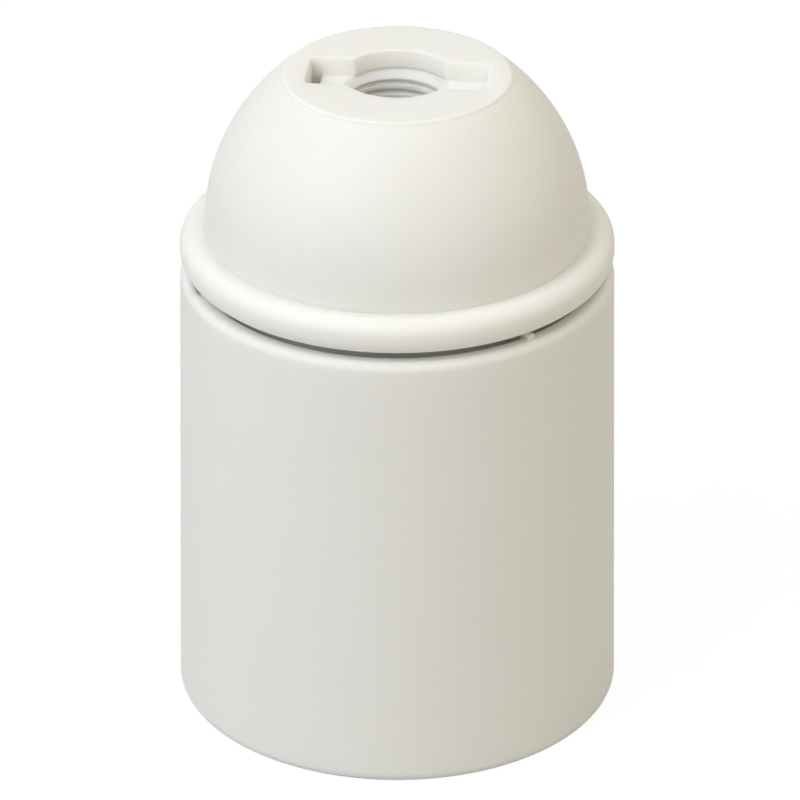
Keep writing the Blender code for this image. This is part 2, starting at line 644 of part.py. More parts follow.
def terminal_screw(name, side):
    at = side * TERMINAL_CENTRE
    top = HEAD_FOOT + SCREW_HEAD
    tip = PAD_STRIP + SCREW_TIP_LIFT
    profile = [(0.2, tip), (SCREW_RADIUS - FIT, tip), (SCREW_RADIUS, tip + FIT), (SCREW_RADIUS, HEAD_FOOT)]
    profile += [(SCREW_HEAD_RADIUS, HEAD_FOOT), (SCREW_HEAD_RADIUS, top - FIT)]
    profile += [(SCREW_HEAD_RADIUS - FIT, top), (0.2, top)]
    body = turned(name, profile, SMALL_SEGMENTS)
    core = rod("core", 0.5, tip, top)
    combine(body, "UNION", [core])
    reach = SCREW_HEAD_RADIUS + 1
    half_slot = SCREW_SLOT / 2
    slot = box("driver_slot", (-reach, reach), (-half_slot, half_slot), (top - SCREW_HEAD / 2, top + 1))
    combine(body, "DIFFERENCE", [turn_about_z(slot, 35 * side)])
    body.data.transform(Matrix.Translation((at, 0, 0)))
    return body


clear_scene()

white_plastic = material("white_plastic", (0.86, 0.85, 0.82), 0.42)
white_skirt = material("white_skirt_plastic", (0.86, 0.85, 0.82), 0.45)
steatite = material("steatite", (0.83, 0.80, 0.74), 0.55)
nickel = material("nickel_plated_sheet", (0.72, 0.70, 0.66), 0.28, 1.0)
spring_bronze = material("spring_bronze", (0.80, 0.60, 0.34), 0.30, 1.0)
brass = material("brass", (0.80, 0.64, 0.32), 0.32, 1.0)
zinc_steel = material("zinc_plated_steel", (0.70, 0.71, 0.73), 0.35, 1.0)

terminal_axis = {side: (side * TERMINAL_CENTRE, 0.0, BLOCK_TOP) for side in (-1, 1)}

finish(dome_cap(), white_plastic, (0.0, 0.0, CAP_TOP))
finish(outer_skirt(), white_skirt)
finish(lock_screw(), zinc_steel, (LOCK_TIP, 0.0, LOCK_HEIGHT))
finish(contact_carrier(), steatite, (0.0, 0.0, FLANGE_FOOT))
finish(screw_shell(), nickel, (0.0, 0.0, SHELL_TOP))
finish(centre_contact(), spring_bronze, (0.0, -CONTACT_RIVET, TONGUE_MIDDLE))
finish(live_strip(), brass, (-LEG_FROM_CENTRE, 0.0, PAD_STRIP))
finish(neutral_strip(), brass, (LEG_FROM_CENTRE, 0.0, PAD_STRIP))
contact_rivet = rivet("contact_rivet", -CONTACT_RIVET, TONGUE_TOP - TONGUE_SHEET)
finish(contact_rivet, brass, (0.0, -CONTACT_RIVET, TONGUE_TOP))
for rivet_name, side in (("shell_rivet", -1), ("neutral_rivet", 1)):
    at = side * SHELL_RIVET
    finish(rivet(rivet_name, at, SHELL_CEILING), brass, (0.0, at, SHELL_TOP))
for wire, side in (("live", -1), ("neutral", 1)):
    finish(terminal_block(f"{wire}_terminal", side), brass, terminal_axis[side])
    finish(wire_clamp(f"{wire}_wire_clamp", side), nickel, terminal_axis[side])
    finish(terminal_screw(f"{wire}_terminal_screw", side), zinc_steel, terminal_axis[side])
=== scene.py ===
"""Dresses the lamp holder: smooth moulded forms, true threads, the finish of each material, and the studio.

Sizes are in millimetres, as in the part's source, and MM turns the finished meshes into metres. The holder
stands on the rim of its skirt round the Z axis, and the camera looks at it from -Y and above."""

import json
from math import cos, pi, radians, sin, sqrt, tan

import bmesh
import bpy
from mathutils import Matrix, Vector


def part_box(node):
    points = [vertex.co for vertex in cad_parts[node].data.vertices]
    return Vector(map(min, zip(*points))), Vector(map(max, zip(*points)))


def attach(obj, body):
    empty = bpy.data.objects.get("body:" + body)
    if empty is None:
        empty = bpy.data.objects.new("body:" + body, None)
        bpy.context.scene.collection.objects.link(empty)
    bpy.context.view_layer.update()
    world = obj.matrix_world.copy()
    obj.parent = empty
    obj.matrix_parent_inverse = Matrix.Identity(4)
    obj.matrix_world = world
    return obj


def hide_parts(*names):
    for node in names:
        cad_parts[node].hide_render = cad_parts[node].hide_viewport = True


MM = 0.001

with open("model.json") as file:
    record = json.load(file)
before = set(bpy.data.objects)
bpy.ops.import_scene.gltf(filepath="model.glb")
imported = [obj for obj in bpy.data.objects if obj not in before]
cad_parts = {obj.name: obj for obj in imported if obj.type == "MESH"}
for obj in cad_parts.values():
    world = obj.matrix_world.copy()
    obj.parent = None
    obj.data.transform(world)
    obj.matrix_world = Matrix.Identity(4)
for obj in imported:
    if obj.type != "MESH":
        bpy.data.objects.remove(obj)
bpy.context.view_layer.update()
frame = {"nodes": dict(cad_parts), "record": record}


def extent(node):
    """Lowest and highest corner of a CAD node, in millimetres."""
    low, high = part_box(node)
    return low / MM, high / MM


# Heights and radii taken from the frame
CAP_TOP = extent("dome_cap")[1].z
NECK_FOOT = extent("dome_cap")[0].z
FOOT_RADIUS = extent("outer_skirt")[1].x
SHELL_FOOT = extent("screw_shell")[0].z
SHELL_TOP = extent("screw_shell")[1].z

# Skirt
SKIRT_HEIGHT = 45.9
SKIRT_DRAFT = 0.72
SKIRT_WALL = 2.4
SKIRT_TOP_RADIUS = FOOT_RADIUS - SKIRT_DRAFT
SKIRT_BORE = SKIRT_TOP_RADIUS - SKIRT_WALL
FOOT_ROUND = 1.0
RIM_ROUND = 0.8
LEAD_IN = 0.8
LEAD_IN_TOP_ROUND = 0.15
LEAD_IN_FOOT_ROUND = 0.2
MOUTH_WALL = 1.9
MOUTH_RADIUS = FOOT_RADIUS - MOUTH_WALL
MOUTH_DRAFT = 0.6
MOUTH_FOOT_ROUND = 0.35
MOUTH_TOP_ROUND = 0.5
LEDGE_TOP = SHELL_TOP
LEDGE_THICKNESS = 2.6
LEDGE_RADIUS = 15.4
LEDGE_ROUND = 0.25
PLAIN_ABOVE_LEDGE = 0.8
PLAIN_BELOW_LEAD_IN = 0.4
TOOTH_WIDTH = 0.9
TOOTH_LENGTH = 1.3
TOOTH_HEIGHT = 0.45
TOOTH_EASE = 0.12
TOOTH_ANGLE = radians(39.0)
NOTCH_WIDTH = 2.4
NOTCH_DEPTH = 1.2
NOTCH_REACH = 1.4
NOTCH_ANGLE = radians(-75.0)

# Screw joint between skirt and cap
JOINT_GAP = 0.3
JOINT_PITCH = 3.0
JOINT_DEPTH = 0.7
JOINT_ROOT_HALF = 0.85
JOINT_CREST_HALF = 0.4
SKIRT_THREAD_START = SKIRT_HEIGHT - 3 * JOINT_PITCH
SKIRT_THREAD_TURNS = 2.0
NECK_THREAD_START = SKIRT_THREAD_START - JOINT_PITCH / 2
NECK_THREAD_TURNS = 2.5
THREAD_FADE = 0.05

# Cap
BEAD_RADIUS = 1.52
BEAD_LAND = 0.45
BEAD_ARC_DEGREES = range(105, -91, -9)
COLLAR_GAP = 0.75
COLLAR_FOOT = SKIRT_HEIGHT + COLLAR_GAP
BEAD_HEIGHT = COLLAR_FOOT + BEAD_RADIUS + BEAD_LAND
BEAD_CENTRE = SKIRT_TOP_RADIUS - BEAD_RADIUS
DOME_FOOT = BEAD_HEIGHT + BEAD_RADIUS
DOME_STEP_IN = 2.43
DOME_FOOT_RADIUS = SKIRT_TOP_RADIUS - DOME_STEP_IN
DOME_TOP_RADIUS = 11.15
DOME_RISE_POWER = 2.2
DOME_FALL_POWER = 0.891
DOME_EDGE_ROUND = 0.3
CAP_WALL = 2.3
CAP_TOP_THICKNESS = 4.2
CEILING = CAP_TOP - CAP_TOP_THICKNESS
CEILING_RADIUS = DOME_TOP_RADIUS - 0.7 * CAP_WALL
BOSS_RADIUS = 7.8
BOSS_LENGTH = 4.8
BOSS_FOOT = CEILING - BOSS_LENGTH
BOSS_ROUND = 0.3
NECK_RADIUS = SKIRT_BORE - JOINT_DEPTH - JOINT_GAP
NECK_WALL = 1.5
NECK_BORE = NECK_RADIUS - NECK_WALL
NECK_FILLET = 0.3
NECK_FOOT_EASE = 0.2
KEY_HALF_WIDTH = 1.0
KEY_DEPTH = 1.1
KEY_FLANK = 0.28
KEY_FOOT = NECK_FOOT + 0.5
KEY_TOP = BEAD_HEIGHT - 0.1
KEY_END_EASE = 0.2
NECK_BORE_TOP = DOME_FOOT - 0.6

# Recess and M10 x 1 entry
RECESS_DEPTH = 1.75
RECESS_FLOOR = CAP_TOP - RECESS_DEPTH
RECESS_DRAFT = 0.2
RECESS_EDGE_ROUND = 0.12
RECESS_FOOT_EASE = 0.2
WELL_RADIUS = 5.35
SLOT_HALF_LENGTH = 8.7
SLOT_HALF_WIDTH = 2.95
SLOT_END_ROUND = 0.5
SLOT_ANGLE = radians(-6.0)
WINDOW_WIDTH = 1.0
WINDOW_INSET = 0.15
WINDOW_CUT_TOP = CAP_TOP - 0.9
ENTRY_RADIUS = 4.46
ENTRY_CHAMFER = 0.85
ENTRY_PITCH = 1.0
ENTRY_DEPTH = 0.54
ENTRY_ROOT_HALF = 0.03
ENTRY_MOUTH_HALF = 0.31
ENTRY_TURNS_IN_VIEW = 3
ENTRY_FOOT_HEIGHT = 0.4
ENTRY_FOOT_WIDTH = 0.2

# Nipple lock screw
LOCK_RADIUS = 2.0
LOCK_BORE_GAP = 0.08
LOCK_BORE_START = 3.5
LOCK_BORE_END = 9.5
LOCK_PITCH = 0.7
LOCK_THREAD_DEPTH = 0.38
LOCK_DROP = 7.6
LOCK_HEIGHT = CAP_TOP - LOCK_DROP
LOCK_POINT_RADIUS = 0.9
LOCK_POINT_LENGTH = 0.7
LOCK_THREAD_START = 0.5
LOCK_RINGS_START = 0.75
LOCK_RINGS_END = 0.3
LOCK_END_RADIUS = LOCK_RADIUS - 0.45
LOCK_END_EASE = 0.05
LOCK_SLOT = 0.6
LOCK_SLOT_DEPTH = 0.96

# Screw shell
SHELL_PITCH = 3.629
SHELL_MAJOR = 13.35
SHELL_DEPTH = 1.05
SHELL_SHEET = 0.45
SHELL_NECK = 1.9
SHELL_BEND = 0.5
SHELL_HOLE = 9.9
SHELL_RIVET = 11.2
SHEET_EDGE_ROUND = 0.1
SHEET_FOOT_EDGE = ((0.85, 0.12), (0.5, 0.0), (0.15, 0.12))

# Terminals, rivets and centre contact
TERMINAL_CENTRE = 9.6
SCREW_RADIUS = 1.7
SCREW_PITCH = 0.6
SCREW_THREAD_DEPTH = 0.34
SCREW_POINT = 0.2
SCREW_HEAD_RADIUS = 2.8
SCREW_HEAD = 2.0
SCREW_HEAD_ROUND = 0.4
SCREW_UNDER_ROUND = 0.12
SCREW_NECK = 0.4
SCREW_NECK_STEP = 0.05
SCREW_SLOT = 0.7
SCREW_SLOT_TURN = radians(35)
SCREW_ROOT_HALF = 0.08
SCREW_MOUTH_HALF = 0.42
SCREW_TIP_STEP = 0.35
SCREW_TIP_EASE = 0.1
RIVET_RADIUS = 0.8
RIVET_HOLE_RADIUS = RIVET_RADIUS + 0.3
RIVET_BORE = RIVET_RADIUS / 2
RIVET_HEAD_RADIUS = 1.3
RIVET_HEAD = 0.7
RIVET_ROLL = 0.45
RIVET_MOUTH_ROUND = 0.25
RIVET_HEAD_EDGE = 0.08
CONTACT_RIVET = 6.6
LEAF_SHEET = 0.4
LEAF_HALF_WIDTH = 2.2
LEAF_FLAT = 1.4
LEAF_LIFT = 0.55
LEAF_LIFT_POWER = 1.6
LEAF_TIP_GAP = 0.16

# How finely the pieces are made
CAP_SEGMENTS = 360
SHELL_SEGMENTS = 160
SMALL_SEGMENTS = 64
RIVET_SEGMENTS = 48
ARC_STEPS = 6
DOME_STEPS = 40
CEILING_STEPS = 16
LEAF_STEPS = 48
SKIRT_RING_GAP = 0.2
NECK_RING_GAP = 0.22
RINGS_A_TURN = 8
RINGS_A_TURN_IN_VIEW = 12
RINGS_A_SHELL_TURN = 20
SUPPORT = 0.07
SUPPORT_SHARE = 0.3
RING_CLEAR = 0.1
MIDWAY_ROUND = 0.3
HAIR = 0.02
CUT_PAST = 1.0
SHARP_EDGE = radians(38)
EASED_EDGE = radians(40)
FLAT_EDGE = radians(1)
WELD_GAP = 1e-4


# Meshes


def from_mesh(name, bm):
    """Closes a bmesh off as an object, with its faces turned outwards."""
    bmesh.ops.recalc_face_normals(bm, faces=bm.faces)
    mesh = bpy.data.meshes.new(name)
    bm.to_mesh(mesh)
    bm.free()
    made = bpy.data.objects.new(name, mesh)
    bpy.context.scene.collection.objects.link(made)
    return made


def turned(name, rings, segments):
    """Skins rings about Z, and closes the last onto the first. A ring is (radius, height), and its radius
    is a number or a function of the angle and the height. Radius 0 is one point on the axis."""
    bm = bmesh.new()
    loops = []
    for radius, height in rings:
        if radius == 0:
            loops.append([bm.verts.new((0, 0, height))] * segments)
            continue
        loop = []
        for step in range(segments):
            angle = 2 * pi * step / segments
            away = radius(angle, height) if callable(radius) else radius
            loop.append(bm.verts.new((away * cos(angle), away * sin(angle), height)))
        loops.append(loop)
    for lower, upper in zip(loops, loops[1:] + loops[:1]):
        for step in range(segments):
            after = (step + 1) % segments
            corners = list(dict.fromkeys((lower[step], lower[after], upper[after], upper[step])))
            if len(corners) > 2:
                bm.faces.new(corners)
    return from_mesh(name, bm)


def extruded(name, outline, low, high):
    """Extrudes a closed (y, z) outline along X."""
    bm = bmesh.new()
    ends = [[bm.verts.new((x, y, z)) for y, z in outline] for x in (low, high)]
    bm.faces.new(ends[0])
    bm.faces.new(ends[1])
    for step in range(len(outline)):
        after = (step + 1) % len(outline)
        bm.faces.new((ends[0][step], ends[0][after], ends[1][after], ends[1][step]))
    return from_mesh(name, bm)


def block(name, low, high, ease=0.0):
    """A box between two corners, with its edges eased."""
    bm = bmesh.new()
    bmesh.ops.create_cube(bm, size=1.0)
    size = Matrix.Diagonal(Vector(high) - Vector(low)).to_4x4()
    middle = Matrix.Translation((Vector(high) + Vector(low)) / 2)
    bmesh.ops.transform(bm, matrix=middle @ size, verts=bm.verts)
    if ease:
        bmesh.ops.bevel(bm, geom=bm.edges[:], offset=ease, segments=3, profile=0.5, affect="EDGES")
    return from_mesh(name, bm)


def drill(name, radius, low, high):
    """A plain cylinder about Z between two heights, to bore holes with."""
    bm = bmesh.new()
    bmesh.ops.create_cone(
        bm, cap_ends=True, segments=SMALL_SEGMENTS, radius1=radius, radius2=radius, depth=high - low
    )
    half_step = Matrix.Rotation(pi / SMALL_SEGMENTS, 4, "Z")
    return moved(from_mesh(name, bm), half_step, Matrix.Translation((0, 0, (low + high) / 2)))


def rounded(corners):
    """The line through these corners, each (radius, height, round). One more point stands at each end of
    an arc, which keeps the shading of the straight stretch straight."""
    line = [corners[0][:2]]
    for before, here, after in zip(corners, corners[1:], corners[2:]):
        point = Vector(here[:2])
        back = Vector(before[:2]) - point
        onward = Vector(after[:2]) - point
        if here[2] == 0:
            line.append(tuple(point))
            continue
        half = back.angle(onward) / 2
        reach = here[2] / tan(half)
        centre = point + (back.normalized() + onward.normalized()).normalized() * here[2] / sin(half)
        start = point + back.normalized() * reach - centre
        end = point + onward.normalized() * reach - centre
        before_start = back.normalized() * min(SUPPORT, SUPPORT_SHARE * (back.length - reach))
        past_end = onward.normalized() * min(SUPPORT, SUPPORT_SHARE * (onward.length - reach))
        line.append(tuple(centre + start + before_start))
        for step in range(ARC_STEPS + 1):
            line.append(tuple(centre + start.slerp(end, step / ARC_STEPS) * here[2]))
        line.append(tuple(centre + end + past_end))
    line.append(corners[-1][:2])
    return line


def combine(target, operation, tools):
    """Joins or cuts with each tool in turn, keeps the result as the target's mesh and removes the tools."""
    for tool in tools:
        step = target.modifiers.new(tool.name, "BOOLEAN")
        step.operation = operation
        step.solver = "EXACT"
        step.object = tool
    graph = bpy.context.evaluated_depsgraph_get()
    result = bpy.data.meshes.new_from_object(target.evaluated_get(graph))
    target.modifiers.clear()
    target.data = result
    for tool in tools:
        bpy.data.objects.remove(tool)
    return target


def moved(thing, *steps):
    """Transforms a mesh by each matrix in turn."""
    for step in steps:
        thing.data.transform(step)
    return thing


def about_z(angle):
    """A turn about the holder's axis."""
    return Matrix.Rotation(angle, 4, "Z")


def laid_along_x(thing, height):
    """Turns what was made about Z to lie along X at this height."""
    return moved(thing, Matrix.Rotation(pi / 2, 4, "Y"), Matrix.Translation((0, 0, height)))


def soft_step(share):
    """0 below 0, 1 above 1, and an easy curve between them."""
    share = min(1.0, max(0.0, share))
    return share * share * (3 - 2 * share)


def evenly(low, high, gap):
    """Heights from low to high, no further apart than gap."""
    count = int((high - low) / gap) + 1
    return [low + (high - low) * step / count for step in range(count + 1)]


# Cap and skirt


def thread_ridge(angle, height, start, turns):
    """How far a ridge of the screw joint stands out at this angle and height."""
    turn = (height - start) / JOINT_PITCH - angle / (2 * pi)
    along = round(turn) + angle / (2 * pi)
    off = abs(turn - round(turn)) * JOINT_PITCH
    flank = min(1.0, max(0.0, (JOINT_ROOT_HALF - off) / (JOINT_ROOT_HALF - JOINT_CREST_HALF)))
    fade = soft_step(along / THREAD_FADE) * soft_step((turns - along) / THREAD_FADE)
    return JOINT_DEPTH * flank * fade


def neck_outside(angle, height):
    """The neck's outer thread."""
    return NECK_RADIUS + thread_ridge(angle, height, NECK_THREAD_START, NECK_THREAD_TURNS)


def neck_inside(angle, height):
    """The neck's bore, with the two keys that hold the contact carrier from turning."""
    beside = abs(NECK_BORE * cos(angle)) - KEY_HALF_WIDTH
    return NECK_BORE - KEY_DEPTH * soft_step(0.5 - beside / KEY_FLANK)


def skirt_inside(angle, height):
    """The skirt's inner thread."""
    return SKIRT_BORE - thread_ridge(angle, height, SKIRT_THREAD_START, SKIRT_THREAD_TURNS)


def entry_wall(angle, height):
    """The entry's wall: the groove of its M10 x 1 thread, or the lead-in cone where that is wider."""
    turn = (height - RECESS_FLOOR) / ENTRY_PITCH - angle / (2 * pi)
    off = abs(turn % 1 - 0.5)
    groove = ENTRY_DEPTH * soft_step((ENTRY_MOUTH_HALF - off) / (ENTRY_MOUTH_HALF - ENTRY_ROOT_HALF))
    cone = ENTRY_RADIUS + ENTRY_CHAMFER + height - RECESS_FLOOR
    return max(ENTRY_RADIUS + groove, cone)


def slot_reach(angle, out):
    """How far the slot's rounded outline lies from the axis at this angle, when grown by out."""
    along, across = abs(cos(angle - SLOT_ANGLE)), abs(sin(angle - SLOT_ANGLE))
    length, width, end = SLOT_HALF_LENGTH + out, SLOT_HALF_WIDTH + out, SLOT_END_ROUND + out
    if along > 0 and length / along * across <= width - end:
        return length / along
    if across > 0 and width / across * along <= length - end:
        return width / across
    middle = (length - end) * along + (width - end) * across
    return middle + sqrt(middle**2 - (length - end) ** 2 - (width - end) ** 2 + end**2)


def recess_edge(out):
    """The outline of the well and slot together, grown by out, as a radius that changes with the angle."""
    return lambda angle, height: max(WELL_RADIUS + out, slot_reach(angle, out))


def recess_floor_edge(angle, height):
    """The floor's outline, which stays outside the lead-in cone."""
    cone_edge = ENTRY_RADIUS + ENTRY_CHAMFER + HAIR / 2
    return max(cone_edge, recess_edge(-RECESS_DRAFT - RECESS_FOOT_EASE)(angle, height))


def dome_curve(foot_radius, top_radius, top, steps):
    """The dome's profile from its foot up, which flattens towards the top."""
    points = []
    for step in range(steps + 1):
        rise = sin(pi / 2 * step / steps)
        across = (foot_radius - top_radius) * max(0.0, 1 - rise**DOME_RISE_POWER) ** DOME_FALL_POWER
        points.append((top_radius + across, DOME_FOOT + (top - DOME_FOOT) * rise))
    return points


def entry_rings():
    """The threaded entry from the boss's foot up, with finer rings where its turns are in view."""
    in_view = RECESS_FLOOR - ENTRY_CHAMFER - ENTRY_TURNS_IN_VIEW * ENTRY_PITCH
    heights = evenly(BOSS_FOOT + ENTRY_FOOT_HEIGHT, in_view, ENTRY_PITCH / RINGS_A_TURN)
    heights += evenly(in_view, RECESS_FLOOR - HAIR, ENTRY_PITCH / RINGS_A_TURN_IN_VIEW)[1:]
    return [(entry_wall, z) for z in heights] + [(ENTRY_RADIUS + ENTRY_CHAMFER, RECESS_FLOOR)]


def recess_rings():
    """The recess from its floor up: an eased foot, a drafted wall and a rounded edge."""
    half_eased = MIDWAY_ROUND * RECESS_FOOT_EASE
    rings = [(recess_floor_edge, RECESS_FLOOR)]
    rings += [(recess_edge(-RECESS_DRAFT - half_eased), RECESS_FLOOR + half_eased)]
    rings += [(recess_edge(-RECESS_DRAFT), RECESS_FLOOR + RECESS_FOOT_EASE)]
    rings += [(recess_edge(-HAIR), CAP_TOP - RECESS_EDGE_ROUND - SUPPORT)]
    for step in range(ARC_STEPS + 1):
        turn = pi / 2 * step / ARC_STEPS
        out = RECESS_EDGE_ROUND * (1 - cos(turn))
        rings.append((recess_edge(out), CAP_TOP - RECESS_EDGE_ROUND * (1 - sin(turn))))
    return rings + [(recess_edge(RECESS_EDGE_ROUND + SUPPORT), CAP_TOP)]


def dome_rings():
    """The rounded edge of the flat top, and the dome down to the collar."""
    rings = [(DOME_TOP_RADIUS - DOME_EDGE_ROUND - SUPPORT, CAP_TOP)]
    for step in range(ARC_STEPS):
        turn = pi / 2 * step / ARC_STEPS
        away = DOME_TOP_RADIUS - DOME_EDGE_ROUND * (1 - sin(turn))
        rings.append((away, CAP_TOP - DOME_EDGE_ROUND * (1 - cos(turn))))
    edge_foot = CAP_TOP - DOME_EDGE_ROUND
    return rings + dome_curve(DOME_FOOT_RADIUS, DOME_TOP_RADIUS, edge_foot, DOME_STEPS)[::-1]


def collar_rings():
    """The collar bead: two arcs with a short upright land between them."""
    rings = []
    for degrees in BEAD_ARC_DEGREES:
        middle = BEAD_HEIGHT if degrees > 0 else COLLAR_FOOT + BEAD_RADIUS
        away = BEAD_CENTRE + BEAD_RADIUS * cos(radians(degrees))
        rings.append((away, middle + BEAD_RADIUS * sin(radians(degrees))))
    return rings


def neck_rings():
    """The neck: a fillet under the collar, the outer thread, the foot, and the bore with its two keys."""
    half_round = MIDWAY_ROUND * NECK_FILLET
    thread_top = COLLAR_FOOT - NECK_FILLET
    fillet = [
        (NECK_RADIUS + NECK_FILLET, COLLAR_FOOT),
        (NECK_RADIUS + half_round, COLLAR_FOOT - half_round),
        (NECK_RADIUS, thread_top),
    ]
    heights = evenly(NECK_FOOT + NECK_FILLET, thread_top - RING_CLEAR, NECK_RING_GAP)
    outside = [(neck_outside, z) for z in heights[::-1]]
    foot_and_bore = [
        (NECK_RADIUS - NECK_FILLET, NECK_FOOT),
        (NECK_BORE + NECK_FOOT_EASE, NECK_FOOT),
        (NECK_BORE, NECK_FOOT + NECK_FOOT_EASE),
        (NECK_BORE, KEY_FOOT),
        (neck_inside, KEY_FOOT + KEY_END_EASE),
        (neck_inside, KEY_TOP),
        (NECK_BORE, KEY_TOP + KEY_END_EASE),
        (NECK_BORE, NECK_BORE_TOP),
    ]
    return fillet + outside + foot_and_bore


def ceiling_rings():
    """The inside of the dome, and the boss that hangs from it."""
    boss = rounded([
        (CEILING_RADIUS - RING_CLEAR, CEILING, 0),
        (BOSS_RADIUS, CEILING, BOSS_ROUND),
        (BOSS_RADIUS, BOSS_FOOT, BOSS_ROUND),
        (ENTRY_RADIUS + ENTRY_DEPTH + ENTRY_FOOT_WIDTH, BOSS_FOOT, 0),
    ])
    return dome_curve(DOME_FOOT_RADIUS - CAP_WALL, CEILING_RADIUS, CEILING, CEILING_STEPS) + boss


def dome_cap():
    """The cap, with its window and the bore of the lock screw."""
    rings = entry_rings() + recess_rings() + dome_rings() + collar_rings() + neck_rings() + ceiling_rings()
    cap = turned("cap_moulding", rings, CAP_SEGMENTS)
    end = WINDOW_INSET - SLOT_HALF_LENGTH
    side = SLOT_HALF_WIDTH - WINDOW_INSET
    window = block("window", (end, -side, CEILING - CUT_PAST), (end + WINDOW_WIDTH, side, WINDOW_CUT_TOP))
    lock_bore = drill("lock_bore", LOCK_RADIUS + LOCK_BORE_GAP, LOCK_BORE_START, LOCK_BORE_END)
    moved(window, about_z(SLOT_ANGLE))
    laid_along_x(lock_bore, LOCK_HEIGHT)
    return combine(cap, "DIFFERENCE", [window, lock_bore])


def outer_skirt():
    """The skirt, with its ledge, inner thread, tooth and notch."""
    ledge_foot = LEDGE_TOP - LEDGE_THICKNESS
    lead_in_foot = SKIRT_HEIGHT - LEAD_IN
    foot = rounded([
        (MOUTH_RADIUS - MOUTH_DRAFT / 2, ledge_foot / 2, 0),
        (MOUTH_RADIUS, 0, MOUTH_FOOT_ROUND),
        (FOOT_RADIUS, 0, FOOT_ROUND),
        (SKIRT_TOP_RADIUS, SKIRT_HEIGHT, RIM_ROUND),
        (SKIRT_BORE + LEAD_IN, SKIRT_HEIGHT, LEAD_IN_TOP_ROUND),
        (SKIRT_BORE, lead_in_foot, LEAD_IN_FOOT_ROUND),
        (SKIRT_BORE, lead_in_foot - PLAIN_BELOW_LEAD_IN, 0),
    ])
    bore_foot = LEDGE_TOP + PLAIN_ABOVE_LEDGE + 2 * RING_CLEAR
    bore_top = lead_in_foot - PLAIN_BELOW_LEAD_IN - RING_CLEAR
    bore = [(skirt_inside, z) for z in evenly(bore_foot, bore_top, SKIRT_RING_GAP)[::-1]]
    ledge = rounded([
        (SKIRT_BORE, LEDGE_TOP + PLAIN_ABOVE_LEDGE, 0),
        (SKIRT_BORE, LEDGE_TOP, LEDGE_ROUND),
        (LEDGE_RADIUS, LEDGE_TOP, LEDGE_ROUND),
        (LEDGE_RADIUS, ledge_foot, LEDGE_ROUND),
        (MOUTH_RADIUS - MOUTH_DRAFT, ledge_foot, MOUTH_TOP_ROUND),
        (MOUTH_RADIUS - MOUTH_DRAFT / 2, ledge_foot / 2, 0),
    ])
    skirt = turned("skirt_moulding", foot + bore + ledge[:-1], CAP_SEGMENTS)
    tooth_end = SKIRT_TOP_RADIUS - RIM_ROUND
    tooth = block(
        "tooth",
        (-TOOTH_WIDTH / 2, -tooth_end, SKIRT_HEIGHT - RIM_ROUND),
        (TOOTH_WIDTH / 2, TOOTH_LENGTH - tooth_end, SKIRT_HEIGHT + TOOTH_HEIGHT),
        TOOTH_EASE,
    )
    combine(skirt, "UNION", [moved(tooth, about_z(TOOTH_ANGLE))])
    notch = block(
        "notch",
        (-NOTCH_WIDTH / 2, -SKIRT_BORE - NOTCH_REACH, SKIRT_HEIGHT - NOTCH_DEPTH),
        (NOTCH_WIDTH / 2, NOTCH_WIDTH - SKIRT_BORE, SKIRT_HEIGHT + NOTCH_DEPTH),
    )
    return combine(skirt, "DIFFERENCE", [moved(notch, about_z(NOTCH_ANGLE))])


# Metal pieces


def rivet_hole(y, height):
    """A drill for the hole of a rivet that stands at y."""
    hole = drill("rivet_hole", RIVET_HOLE_RADIUS, height - 2 * CUT_PAST, height + 2 * CUT_PAST)
    return moved(hole, Matrix.Translation((0, y, 0)))


def shell_wave(radius):
    """The lamp's rolled right-hand thread: a wave about this radius that fades out at the shell's neck."""

    def away(angle, height):
        calm = soft_step((SHELL_TOP - SHELL_NECK - height) / (SHELL_PITCH / 4))
        wave = cos(2 * pi * height / SHELL_PITCH - angle)
        return radius + SHELL_DEPTH / 2 * (wave * calm + 1 - calm)

    return away


def screw_shell():
    """One sheet: the thread's inside, the turned-in top, the thread's outside and the rounded foot."""
    middle = SHELL_MAJOR - SHELL_DEPTH / 2
    outer = SHELL_MAJOR + SHELL_SHEET
    wave_foot = SHELL_FOOT + SHELL_SHEET / 2
    heights = evenly(wave_foot, SHELL_TOP - SHELL_NECK, SHELL_PITCH / RINGS_A_SHELL_TURN)
    inside = [(shell_wave(middle), z) for z in heights]
    outside = [(shell_wave(middle + SHELL_SHEET), z) for z in heights]
    foot = []
    for through, up in SHEET_FOOT_EDGE:
        foot.append((shell_wave(middle + SHELL_SHEET * through), SHELL_FOOT + SHELL_SHEET * up))
    top = rounded([
        (SHELL_MAJOR, heights[-1] + RING_CLEAR, 0),
        (SHELL_MAJOR, SHELL_TOP - SHELL_SHEET, SHELL_BEND),
        (SHELL_HOLE, SHELL_TOP - SHELL_SHEET, SHEET_EDGE_ROUND),
        (SHELL_HOLE, SHELL_TOP, SHEET_EDGE_ROUND),
        (outer, SHELL_TOP, SHELL_BEND + SHELL_SHEET),
        (outer, heights[-1] + RING_CLEAR, 0),
    ])
    shell = turned("shell_sheet", inside + top + outside[::-1] + foot, SHELL_SEGMENTS)
    return combine(shell, "DIFFERENCE", [rivet_hole(y, SHELL_TOP) for y in (-SHELL_RIVET, SHELL_RIVET)])


def screw_thread(radius, pitch, depth, low, high):
    """The outside of a fine screw, whose grooves run out at both ends."""

    def away(angle, height):
        turn = height / pitch - angle / (2 * pi)
        off = abs(turn % 1 - 0.5)
        held = soft_step((height - low) / pitch) * soft_step((high - height) / pitch)
        groove = soft_step((SCREW_MOUTH_HALF - off) / (SCREW_MOUTH_HALF - SCREW_ROOT_HALF))
        return radius - depth * held * groove

    return away


